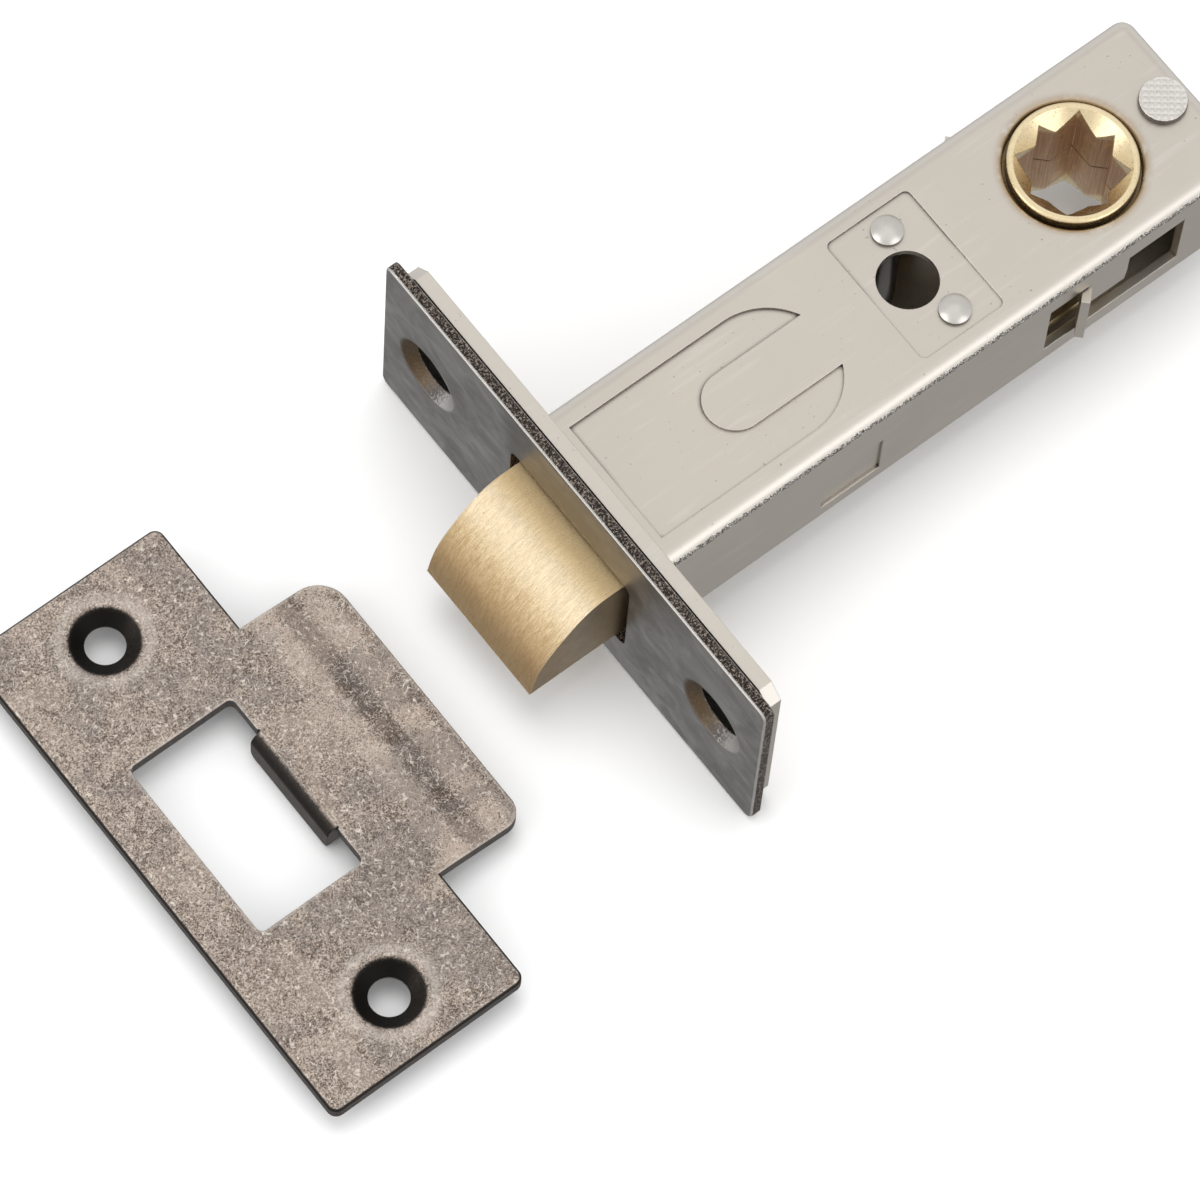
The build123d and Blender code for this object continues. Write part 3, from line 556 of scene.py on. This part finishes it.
def lathe(name, profile, segments, centre):
    """A turned mesh from (radius, height) points, closed by a point at each end."""
    points, faces = [], []
    for radius, height in profile:
        for step in range(segments):
            angle = 2 * math.pi * step / segments
            points.append((centre + radius * math.cos(angle), radius * math.sin(angle), height))
    for ring in range(len(profile) - 1):
        for step in range(segments):
            here, there = ring * segments + step, ring * segments + (step + 1) % segments
            faces.append((here, there, there + segments, here + segments))
    last = (len(profile) - 1) * segments
    points += [(centre, 0, profile[0][1]), (centre, 0, profile[-1][1])]
    for step in range(segments):
        after = (step + 1) % segments
        faces.append((len(points) - 2, after, step))
        faces.append((len(points) - 1, last + step, last + after))
    mesh = bpy.data.meshes.new(name)
    mesh.from_pydata(points, [], faces)
    mesh.shade_smooth()
    piece = bpy.data.objects.new(name, mesh)
    stage.collection.objects.link(piece)
    return piece


def post_profile():
    """Bottom dome, necks and shank, then many close rings over the flat head."""
    dome_steps, flat_steps = 12, 40
    rise = case_lo.z - post_lo.z - head_wall
    cap = (post_head_r**2 + rise**2) / (2 * rise)
    rings = []
    for step in range(1, dome_steps + 1):
        radius = post_head_r * step / dome_steps
        rings.append((radius, case_lo.z - head_wall - rise + cap - math.sqrt(cap**2 - radius**2)))
    rings.append((post_head_r, case_lo.z))
    inner_top, inner_bottom = case_hi.z - top_sheet, case_lo.z + cover_sheet
    rings += [
        (post_neck_r, case_lo.z), (post_neck_r, inner_bottom), (post_shank_r, inner_bottom),
        (post_shank_r, inner_top), (post_neck_r, inner_top), (post_neck_r, case_hi.z),
        (post_head_r, case_hi.z), (post_head_r, post_hi.z - head_wall),
        (post_head_r - rim_inset, post_hi.z - rim_drop),
    ]
    for step in range(flat_steps + 1):
        rings.append((post_head_r * (0.97 - 0.94 * step / flat_steps), post_hi.z))
    return rings


rear_post = lathe("rear_post_knurled", post_profile(), post_segments, post_x)
for vertex in rear_post.data.vertices:
    x, y, z = vertex.co
    reach, angle = math.hypot(x - post_x, y), math.atan2(y, x - post_x)
    if z > post_hi.z - struck_depth:
        ridge = [abs(((x * c + y * s) / knurl_pitch) % 1 - 0.5) * 2 for c, s in knurl_ways]
        rim = max(0.0, 1 - (post_head_r - reach) / burr_width)
        uneven = 0.5 + 0.5 * math.sin(23 * angle) * math.sin(9 * angle + 1)
        vertex.co.z -= knurl_depth * max(ridge) * (1 - rim) + burr_depth * rim * uneven
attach(rear_post, "latch_case")
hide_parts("rear_post")
rear_post.data.materials.append(bright_nickel("struck_nickel", 0.7))


# ---------------------------------------------------------------- faceplate
# The faceplate is blanked from steel and plated a dark, smoky nickel. Its
# sheared edges are pitted, the rounded front edge carries a painted pale
# highlight, and the two countersinks for its wood screws are darkened, with
# painted shade on one side and a painted highlight on the other.
def smoky_nickel():
    """Smoky nickel: smeared on the front, dark by the bolt, pitted at the side."""
    sink_outer, sink_inner = 4.4, 3.9
    shadow, near_black, brown = (0.110, 0.098, 0.085), (0.065, 0.056, 0.050), (0.15, 0.095, 0.045)
    paint = Paint("smoky_nickel")
    _, y, z = paint.axes(paint.mm)
    screws = next(m for m in frame["record"]["mounts"] if m["name"] == "faceplate_screws")
    half_spacing = screws["dims"]["spacing_x_mm"] / 2
    hand = paint.node("ShaderNodeMath", {"operation": "SIGN"}, {0: y})
    along = y - hand * half_spacing
    from_screw = (z * z + along * along) ** 0.5
    front, _, _ = paint.facing()
    on_front = paint.between(front, -0.35, -0.80)
    cloud = paint.noise(paint.mm, 6.0, 5, 0.8, 0.6)
    slanted = paint.stretched(paint.mm, 1.0, 4.2, 2.4, (0.7, 0.0, 0.0))
    smear = paint.noise(slanted, 1.0, 5, 1.0, 0.6)
    drawn_out = paint.stretched(paint.mm, 1.0, 3.2, 0.35, (0.3, 0.0, 0.0))
    streak = paint.noise(drawn_out, 1.0, 3, 0.8)
    speck = paint.noise(paint.mm, 0.20, 3, 0.5)
    fleck = paint.noise(paint.mm, 0.22, 3, 0.8, 0.65)
    pit = paint.between(fleck, 0.60, 0.49)
    worn = paint.edge(0.26)
    # Painted shade: darker in the crevices and corners, found by ambient occlusion.
    crevice_shade = 1.0 - paint.between(paint.crevice(0.6), 0.25, 0.80)
    sunk = paint.between(from_screw, sink_outer, sink_inner)
    shaded_half = paint.between(along + 3.0 * smear + 2.0 * speck, 1.6, 4.4)
    lit_half = paint.between(along + 6.0 * fleck, 2.6, 0.6)
    face = paint.mix(paint.between(cloud, 0.3, 0.7), (0.225, 0.220, 0.215), (0.360, 0.350, 0.335))
    face = paint.mix(paint.between(smear, 0.48, 0.70) * 0.60, face, (0.50, 0.48, 0.455))
    face = paint.mix(paint.between(smear, 0.50, 0.30) * 0.50, face, (0.180, 0.150, 0.125))
    face = paint.mix(paint.between(streak, 0.58, 0.74) * 0.20, face, (0.58, 0.56, 0.53))
    face = paint.mix(speck * 0.20, face, (0.24, 0.23, 0.22))
    # The countersinks are darkened as painted shade, browner on their +Y half, with a painted highlight on their
    # -Y half.
    face = paint.mix(sunk * 0.85, face, near_black)
    face = paint.mix(sunk * shaded_half * 0.7, face, brown)
    face = paint.mix(sunk * lit_half * 0.8, face, (0.66, 0.64, 0.62))
    by_bolt = paint.between(hand * y, 11.5, 8.5) * paint.between(z, 2.5, 5.5)
    face = paint.mix(by_bolt * 0.6, face, shadow)
    side = paint.mix(pit, (0.35, 0.30, 0.26), (0.040, 0.032, 0.028))
    metal = paint.mix(on_front, side, face)
    rounded = paint.between(front, -0.10, -0.28) * paint.between(front, -0.94, -0.80)
    edge_highlight = rounded * (1 - sunk)
    # Painted highlight: the rounded front edge is pale; the sheared edges are pale with wear.
    metal = paint.mix(worn * (1 - on_front) * 0.4 + edge_highlight * 0.5, metal, (0.92, 0.89, 0.84))
    metal = paint.mix(crevice_shade * 0.7, metal, (0.05, 0.045, 0.04))
    rough = 0.29 + 0.14 * cloud + 0.08 * speck + 0.12 * (1 - on_front)
    height = 0.30 * cloud + 0.10 * speck + 0.15 * smear - 0.8 * (pit * (1 - on_front))
    return paint.finish(metal, rough, height, depth=0.03, round_by=0.12, Metallic=1.0)


dress(smoky_nickel(), "faceplate")


# ------------------------------------------------------------- strike plate
# The strike is pressed steel, tumbled so that its dark plate rubs through to a
# warm grey. It is mottled on the flat and pale along the edges. Painted
# highlight bands lie on the lip's crest and brow, with painted shade between.
# Painted shade darkens every face that doesn't face up, the tongue and the bends
# most, and the screw holes are black plate, paler on one side as painted light.
def rubbed_nickel():
    """Dark nickel rubbed through to warm grey; places are in millimetres."""
    warm_dark, warm_light = (0.115, 0.086, 0.070), (0.670, 0.560, 0.475)
    grey, black_plate = (0.200, 0.180, 0.175), (0.012, 0.011, 0.010)
    hair_width, hair_core = 0.0005, 0.00005
    paint = Paint("rubbed_nickel")
    screws = next(m for m in frame["record"]["mounts"] if m["name"] == "strike_screws")
    screw_x, screw_y, _ = (1000 * v for v in screws["pos_m"])
    _, strike_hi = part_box("strike_plate")
    lip_end = 1000 * strike_hi.x
    x, y, _ = paint.axes(paint.mm)
    hand = paint.node("ShaderNodeMath", {"operation": "SIGN"}, {0: y - screw_y})
    along = hand * (y - screw_y) - screws["dims"]["spacing_y_mm"] / 2
    from_screw = ((x - screw_x) * (x - screw_x) + along * along) ** 0.5
    _, _, up = paint.facing()
    upward = paint.between(up, 0.70, 0.97)
    drift = paint.noise(paint.mm, 7.0, 3, 0.8)
    cloud = paint.noise(paint.mm, 1.9, 5, 0.6, 0.65)
    worm = paint.noise(paint.mm, 0.34, 2, 2.2, 0.6)
    speck = paint.noise(paint.mm, 0.16, 2, 0.6)
    hairs = 0.0
    for size, turn in ((0.7, 0.4), (1.0, 1.5), (1.4, 2.6)):
        turned = paint.stretched(paint.mm, 1.0, 1.0, 1.0, (0, 0, turn))
        curl = paint.noise(turned, size, 1, 0.8) - 0.5
        broken = paint.between(paint.noise(turned, 0.6, 1), 0.50, 0.58)
        hairs = hairs + paint.between(curl * curl, hair_width, hair_core) * broken
    pits = paint.between(paint.noise(paint.mm, 1.1, 4, 1.0, 0.7), 0.70, 0.72)
    worn = paint.edge(0.9)
    halo = paint.between(from_screw, 3.5, 4.2) * paint.between(from_screw, 5.4, 4.4)
    black = paint.between(from_screw + 0.8 * worm, 4.1, 3.5)
    off_lip = lip_end - x + 1.6 * (cloud - 0.5)
    crest_highlight = paint.between(off_lip, 9.8, 8.2) * paint.between(off_lip, 5.8, 7.0)
    brow_highlight = paint.between(off_lip, 4.4, 3.2) * paint.between(off_lip, 0.6, 1.6)
    valley_shade = paint.between(off_lip, 6.6, 5.4) * paint.between(off_lip, 3.4, 4.6)
    tone = 0.20 * cloud + 0.34 * worm + 0.40 * speck + 0.06 * drift
    # Painted light on the lip: highlight bands on its crest and brow, painted shade in the valley between.
    tone = tone + 0.045 * (crest_highlight + brow_highlight) - 0.045 * valley_shade
    skin = paint.mix(paint.between(tone, 0.41, 0.60), warm_dark, warm_light)
    skin = paint.mix(paint.between(drift + 0.3 * cloud, 0.60, 0.76) * 0.45, skin, grey)
    skin = paint.mix(paint.between(drift + 0.3 * cloud, 0.64, 0.48) * 0.35, skin, (0.64, 0.535, 0.455))
    skin = paint.mix(hairs * 0.60, skin, (0.86, 0.78, 0.70))
    rubbing_and_highlight = paint.between(worm + 0.4 * speck, 0.45, 0.75)
    pale = worn * upward + 0.55 * halo
    pale = paint.node("ShaderNodeClamp", {}, {0: pale * (0.35 + 0.5 * rubbing_and_highlight)})
    skin = paint.mix(pale, skin, (0.70, 0.63, 0.57))
    skin = paint.mix(pits * 0.9, skin, (0.030, 0.022, 0.018))
    # Painted shade: faces that don't face up, the tongue among them, are darkened, and the sloping bends are near
    # black.
    skin = paint.mix((1 - upward) * 0.85, skin, (0.060, 0.055, 0.052))
    bend_shade = paint.between(up, 0.975, 0.86) * paint.between(up, 0.02, 0.25)
    skin = paint.mix(bend_shade * 0.9, skin, (0.022, 0.019, 0.017))
    # The screw holes hold black plate, made paler on one side as painted light.
    lit = paint.between(0.6 * (x - screw_x) - 0.8 * hand * along, 0.8, 2.4)
    skin = paint.mix(black * (0.97 - 0.5 * lit), skin, black_plate)
    rough = 0.38 + 0.14 * worm + 0.08 * speck
    height = 0.5 * worm + 0.5 * speck + 0.3 * cloud - 1.0 * pits
    return paint.finish(skin, rough, height, depth=0.035, round_by=0.25, Metallic=1.0)


dress(rubbed_nickel(), "strike_plate")


# -------------------------------------------------------------------- table
# The table is a plain board in matt white paint, a hair below the latch. It
# catches the shadow, and doesn't show in the metal.
table_mesh = bpy.data.meshes.new("table")
table_half, table_z = 3.0, cad_box[0].z - 0.0003
table_mesh.from_pydata(
    [(x * table_half, y * table_half, table_z) for x, y in ((-1, -1), (1, -1), (1, 1), (-1, 1))],
    [], [(0, 1, 2, 3)],
)
table = bpy.data.objects.new("table", table_mesh)
stage.collection.objects.link(table)
table.visible_glossy = False

table_paint = Paint("table_white")
board_patches = table_paint.noise(table_paint.mm, 400.0, 2)
board_white = table_paint.mix(board_patches, (0.90, 0.90, 0.90), (0.93, 0.93, 0.93))
table.data.materials.append(table_paint.finish(board_white, 0.9))
